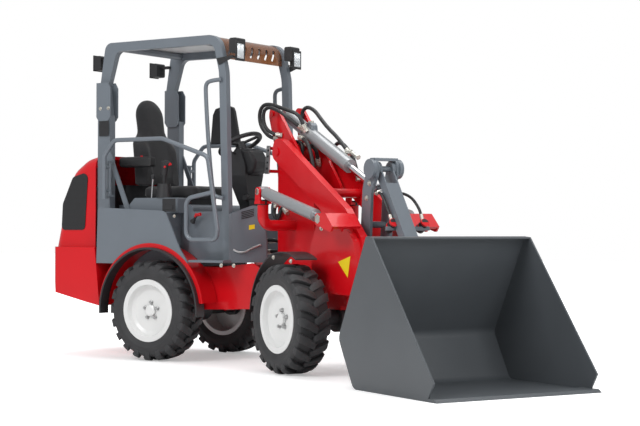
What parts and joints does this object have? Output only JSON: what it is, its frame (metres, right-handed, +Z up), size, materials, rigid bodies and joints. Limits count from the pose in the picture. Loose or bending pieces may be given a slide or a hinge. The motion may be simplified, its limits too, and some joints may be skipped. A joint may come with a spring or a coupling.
{
  "type": "compact wheel loader",
  "caption": "Compact articulated wheel loader with open rollover canopy, quick hitch and loading bucket, front frame parked part way round to the right.",
  "frame": {"origin": "on the ground under the middle of the bounding box, with the front frame parked at its resting angle", "axes": "+X forward along the rear frame, +Y to the driver's left, +Z up"},
  "size_m": [4.3327, 2.1493, 2.2],
  "materials": {
    "red_paint": "gloss red paint",
    "grey_paint": "satin slate grey paint",
    "white_paint": "gloss white paint",
    "black_plastic": "textured black plastic",
    "seat_cover": "matt black seat cover",
    "tyre": "black tyre rubber",
    "chrome": "polished rod",
    "steel": "bare steel",
    "dark_iron": "dark cast iron",
    "lamp": "lamp housing",
    "roof": "tinted bronze sheet"
  },
  "bodies": {
    "rear_frame": {"armrest": "seat_cover", "canopy_frame": "grey_paint", "console": "grey_paint", "counterweight": "red_paint", "engine_block": "dark_iron", "front_work_lights": "lamp", "guard_hinges": "grey_paint", "joystick": "black_plastic", "platform": "grey_paint", "rear_axle": "red_paint", "rear_chassis": "red_paint", "rear_fenders": "black_plastic", "rear_work_lights": "lamp", "roof_panel": "white_paint", "roof_visor": "roof", "seat_backrest": "seat_cover", "seat_base": "black_plastic", "seat_cushion": "seat_cover", "side_panel_left": "grey_paint", "side_panel_right": "grey_paint", "steering_column": "black_plastic", "tow_pin": "steel", "wheel_arches": "red_paint"},
    "front_frame": {"front_frame": "red_paint", "cylinder_cranks": "red_paint", "front_fenders": "black_plastic", "front_axle": "red_paint"},
    "lift_arm": {"lift_arm": "red_paint"},
    "lift_barrel_right": {"lift_barrel_right": "grey_paint"},
    "lift_barrel_left": {"lift_barrel_left": "grey_paint"},
    "lift_rod_right": {"lift_rod_right": "chrome"},
    "lift_rod_left": {"lift_rod_left": "chrome"},
    "tilt_barrel": {"tilt_barrel": "grey_paint"},
    "tilt_rod": {"tilt_rod": "chrome"},
    "lever_pin": {"lever_pin": "steel"},
    "tilt_lever": {"tilt_lever": "grey_paint"},
    "link_pin": {"link_pin": "steel"},
    "tilt_link": {"tilt_link": "grey_paint"},
    "hitch_pin": {"hitch_pin": "steel"},
    "bucket": {"quick_hitch": "grey_paint", "bucket": "grey_paint"},
    "front_wheel_right": {"front_wheel_right_rim": "white_paint", "front_wheel_right_tyre": "tyre"},
    "front_wheel_left": {"front_wheel_left_rim": "white_paint", "front_wheel_left_tyre": "tyre"},
    "rear_wheel_right": {"rear_wheel_right_rim": "white_paint", "rear_wheel_right_tyre": "tyre"},
    "rear_wheel_left": {"rear_wheel_left_rim": "white_paint", "rear_wheel_left_tyre": "tyre"},
    "hood": {"hood": "red_paint", "hood_grilles": "black_plastic"},
    "guard_right": {"guard_bar_right": "grey_paint"},
    "guard_left": {"guard_bar_left": "grey_paint"},
    "steering_wheel": {"steering_wheel": "black_plastic"}
  },
  "joints": [
    {"name": "steer_articulation", "type": "hinge", "parent": "rear_frame", "child": "front_frame", "pos_m": [-0.402, 0.54965, 0.5], "axis": [0, 0, 1], "range_deg": [-19.2, 70.8]},
    {"name": "hood_hinge", "type": "hinge", "parent": "rear_frame", "child": "hood", "pos_m": [-1.737, 0.54965, 1.418], "axis": [0, 1, 0], "range_deg": [0, 60]},
    {"name": "guard_swing_right", "type": "hinge", "parent": "rear_frame", "child": "guard_right", "pos_m": [-1.598, 0.10365, 1.243], "axis": [0, 0, -1], "range_deg": [0, 85]},
    {"name": "guard_swing_left", "type": "hinge", "parent": "rear_frame", "child": "guard_left", "pos_m": [-1.598, 0.99565, 1.243], "axis": [0, 0, 1], "range_deg": [0, 85]},
    {"name": "steering_wheel_turn", "type": "hinge", "parent": "rear_frame", "child": "steering_wheel", "pos_m": [-0.796, 0.54965, 1.483], "axis": [-0.4695, 0, 0.8829], "continuous": true},
    {"name": "rear_wheel_right_spin", "type": "hinge", "parent": "rear_frame", "child": "rear_wheel_right", "pos_m": [-1.193, 0.13265, 0.342], "axis": [0, 1, 0], "continuous": true},
    {"name": "rear_wheel_left_spin", "type": "hinge", "parent": "rear_frame", "child": "rear_wheel_left", "pos_m": [-1.193, 0.96665, 0.342], "axis": [0, 1, 0], "continuous": true},
    {"name": "front_wheel_right_spin", "type": "hinge", "parent": "front_frame", "child": "front_wheel_right", "pos_m": [0.12866, -0.17005, 0.342], "axis": [0.4352, 0.9003, 0], "continuous": true},
    {"name": "front_wheel_left_spin", "type": "hinge", "parent": "front_frame", "child": "front_wheel_left", "pos_m": [0.49164, 0.58082, 0.342], "axis": [0.4352, 0.9003, 0], "continuous": true},
    {"name": "arm_lift", "type": "hinge", "parent": "front_frame", "child": "lift_arm", "pos_m": [-0.22194, 0.4626, 1.41], "axis": [-0.4352, -0.9003, 0], "range_deg": [0, 88]},
    {"name": "lift_barrel_right_swing", "type": "hinge", "parent": "front_frame", "child": "lift_barrel_right", "pos_m": [-0.28206, 0.10847, 1.141], "axis": [-0.4352, -0.9003, 0], "range_deg": [-1, 88.12]},
    {"name": "lift_rod_right_slide", "type": "slide", "parent": "lift_barrel_right", "child": "lift_rod_right", "axis": [0.8772, -0.4241, -0.225], "range_m": [-0.004, 0.3972]},
    {"name": "lift_barrel_left_swing", "type": "hinge", "parent": "front_frame", "child": "lift_barrel_left", "pos_m": [0.01825, 0.72969, 1.141], "axis": [-0.4352, -0.9003, 0], "range_deg": [-1, 88.12]},
    {"name": "lift_rod_left_slide", "type": "slide", "parent": "lift_barrel_left", "child": "lift_rod_left", "axis": [0.8772, -0.4241, -0.225], "range_m": [-0.004, 0.3972]},
    {"name": "tilt_barrel_swing", "type": "hinge", "parent": "front_frame", "child": "tilt_barrel", "pos_m": [-0.402, 0.54965, 1.675], "axis": [-0.4352, -0.9003, 0], "range_deg": [-1, 75.8]},
    {"name": "tilt_rod_slide", "type": "slide", "parent": "tilt_barrel", "child": "tilt_rod", "axis": [0.8174, -0.3952, -0.4191], "range_m": [-0.1297, 0.1716]},
    {"name": "lever_pin_turn", "type": "hinge", "parent": "lift_arm", "child": "lever_pin", "pos_m": [0.60636, 0.06219, 0.77], "axis": [-0.4352, -0.9003, 0], "range_deg": [-68.32, 1]},
    {"name": "tilt_lever_swing", "type": "hinge", "parent": "lever_pin", "child": "tilt_lever", "pos_m": [0.60636, 0.06219, 0.77], "axis": [-0.4352, -0.9003, 0], "range_deg": [-33.28, 25.21]},
    {"name": "link_pin_turn", "type": "hinge", "parent": "tilt_lever", "child": "link_pin", "pos_m": [0.69099, 0.02128, 1.268], "axis": [-0.4352, -0.9003, 0], "range_deg": [-17.77, 23.36]},
    {"name": "tilt_link_swing", "type": "hinge", "parent": "link_pin", "child": "tilt_link", "pos_m": [0.69099, 0.02128, 1.268], "axis": [-0.4352, -0.9003, 0], "range_deg": [-1, 48.78]},
    {"name": "hitch_level", "type": "hinge", "parent": "lift_arm", "child": "hitch_pin", "pos_m": [0.90346, -0.08144, 0.262], "axis": [-0.4352, -0.9003, 0], "range_deg": [-89, 1]},
    {"name": "bucket_tilt", "type": "hinge", "parent": "hitch_pin", "child": "bucket", "pos_m": [0.90346, -0.08144, 0.262], "axis": [0.4352, 0.9003, 0], "range_deg": [-30, 40]}
  ],
  "couplings": [
    {"joint": "lift_barrel_right_swing", "follows": "arm_lift", "ratio": 0.99},
    {"joint": "lift_barrel_left_swing", "follows": "arm_lift", "ratio": 0.99},
    {"joint": "lift_rod_right_slide", "follows": "arm_lift", "m_per_rad": 0.256},
    {"joint": "lift_rod_left_slide", "follows": "arm_lift", "m_per_rad": 0.256},
    {"joint": "tilt_barrel_swing", "follows": "arm_lift", "ratio": 0.85},
    {"joint": "tilt_rod_slide", "follows": "bucket_tilt", "m_per_rad": 0.24},
    {"joint": "lever_pin_turn", "follows": "arm_lift", "ratio": -0.765},
    {"joint": "tilt_lever_swing", "follows": "bucket_tilt", "ratio": -0.807},
    {"joint": "link_pin_turn", "follows": "bucket_tilt", "ratio": 0.559},
    {"joint": "tilt_link_swing", "follows": "arm_lift", "ratio": 0.543},
    {"joint": "hitch_level", "follows": "arm_lift", "ratio": -1}
  ]
}
